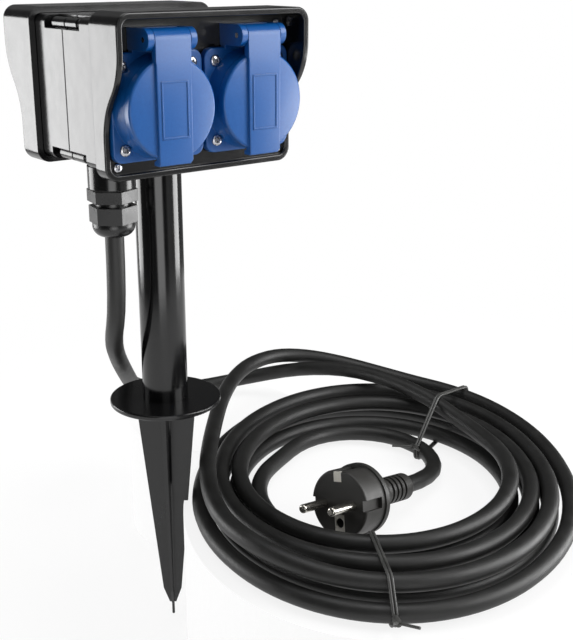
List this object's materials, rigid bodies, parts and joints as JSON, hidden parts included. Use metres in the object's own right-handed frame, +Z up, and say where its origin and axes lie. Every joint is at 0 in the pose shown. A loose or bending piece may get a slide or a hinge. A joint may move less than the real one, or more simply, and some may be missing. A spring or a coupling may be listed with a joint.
{
  "type": "garden socket spike",
  "caption": "Outdoor socket box on a ground spike, with lidded sockets in front, a covered timer dial behind and a coiled supply cable with its plug.",
  "frame": {"origin": "on the spike's axis, level with the ground that the coiled cable lies on, 76 mm above the spike's tip", "axes": "+Z up along the column, -Y out of the side with the sockets, +Y out of the side with the timer, +X to the right as seen from the sockets' side"},
  "size_m": [0.2796, 0.3205, 0.3504],
  "materials": {
    "black_plastic": "smooth glossy black, slightly wavy",
    "black_matte": "fine satin black",
    "blue_plastic": "glossy blue",
    "clear_plastic": "clear, faintly blue, slightly hazy",
    "dial_dark": "fine satin dark grey",
    "dial_light": "satin light grey",
    "steel": "bright zinc plated",
    "nickel": "nickel plated",
    "brass": "plain",
    "rubber": "soft, matt",
    "cable": "smooth rubber sheath, satin",
    "tie": "plastic-coated wire",
    "terminal": "natural plastic",
    "insulation": "wire insulation"
  },
  "bodies": {
    "housing": {"column_tube": "black_plastic", "cord_coil": "cable", "cord_drop": "cable", "cord_sheath_end": "cable", "cord_tail": "cable", "cover_pin": "steel", "cover_spring": "steel", "front_corner_screws": "steel", "front_face_gasket": "rubber", "front_shell": "black_plastic", "front_visor": "black_plastic", "gland_body": "black_matte", "gland_claw": "black_matte", "gland_nut": "black_matte", "gland_ring": "rubber", "gland_seal": "rubber", "ground_spike": "black_plastic", "inner_wires": "insulation", "left_contacts": "nickel", "left_earth_strap": "nickel", "left_flange_gasket": "rubber", "left_flange_screws": "steel", "left_hinge_pin": "steel", "left_lid_spring": "steel", "left_socket": "blue_plastic", "lower_tie": "tie", "plug_body": "black_matte", "plug_cord_end": "cable", "plug_earth": "nickel", "plug_pins": "nickel", "plug_relief": "black_matte", "rear_corner_screws": "steel", "rear_face_gasket": "rubber", "rear_shell": "black_plastic", "rear_visor": "black_plastic", "right_contacts": "nickel", "right_earth_strap": "nickel", "right_flange_gasket": "rubber", "right_flange_screws": "steel", "right_hinge_pin": "steel", "right_lid_spring": "steel", "right_socket": "blue_plastic", "shell_gasket": "rubber", "shell_screws": "black_matte", "terminal_block": "terminal", "timer_gasket": "rubber", "timer_housing": "dial_dark", "timer_movement": "dial_dark", "upper_tie": "tie"},
    "left_lid": {"left_lid": "blue_plastic", "left_lid_seal": "rubber"},
    "right_lid": {"right_lid": "blue_plastic", "right_lid_seal": "rubber"},
    "timer_cover": {"timer_cover": "clear_plastic"},
    "timer_dial": {"timer_dial": "dial_dark", "timer_hub": "dial_light", "timer_tappets": "dial_light", "timer_spindle": "steel"},
    "timer_tappet": {"timer_tappet_set": "dial_light"}
  },
  "joints": [
    {"name": "left_lid_hinge", "type": "hinge", "parent": "housing", "child": "left_lid", "pos_m": [-0.0257, -0.0549, 0.2621], "axis": [-1, 0, 0], "range_deg": [0, 100], "stiffness_Nm_per_rad": 0.02, "springref_deg": -34.38, "deforming": ["left_lid_spring"]},
    {"name": "right_lid_hinge", "type": "hinge", "parent": "housing", "child": "right_lid", "pos_m": [0.0257, -0.0549, 0.2621], "axis": [-1, 0, 0], "range_deg": [0, 100], "stiffness_Nm_per_rad": 0.02, "springref_deg": -34.38, "deforming": ["right_lid_spring"]},
    {"name": "timer_cover_hinge", "type": "hinge", "parent": "housing", "child": "timer_cover", "pos_m": [0, 0.0451, 0.2592], "axis": [1, 0, 0], "range_deg": [0, 100], "stiffness_Nm_per_rad": 0.02, "springref_deg": -34.38, "deforming": ["cover_spring"]},
    {"name": "timer_dial_spin", "type": "hinge", "parent": "housing", "child": "timer_dial", "pos_m": [0, 0.045, 0.2314], "axis": [0, 1, 0], "continuous": true},
    {"name": "timer_tappet_slide", "type": "slide", "parent": "timer_dial", "child": "timer_tappet", "axis": [0, 0, -1], "range_m": [0, 0.0008]}
  ]
}
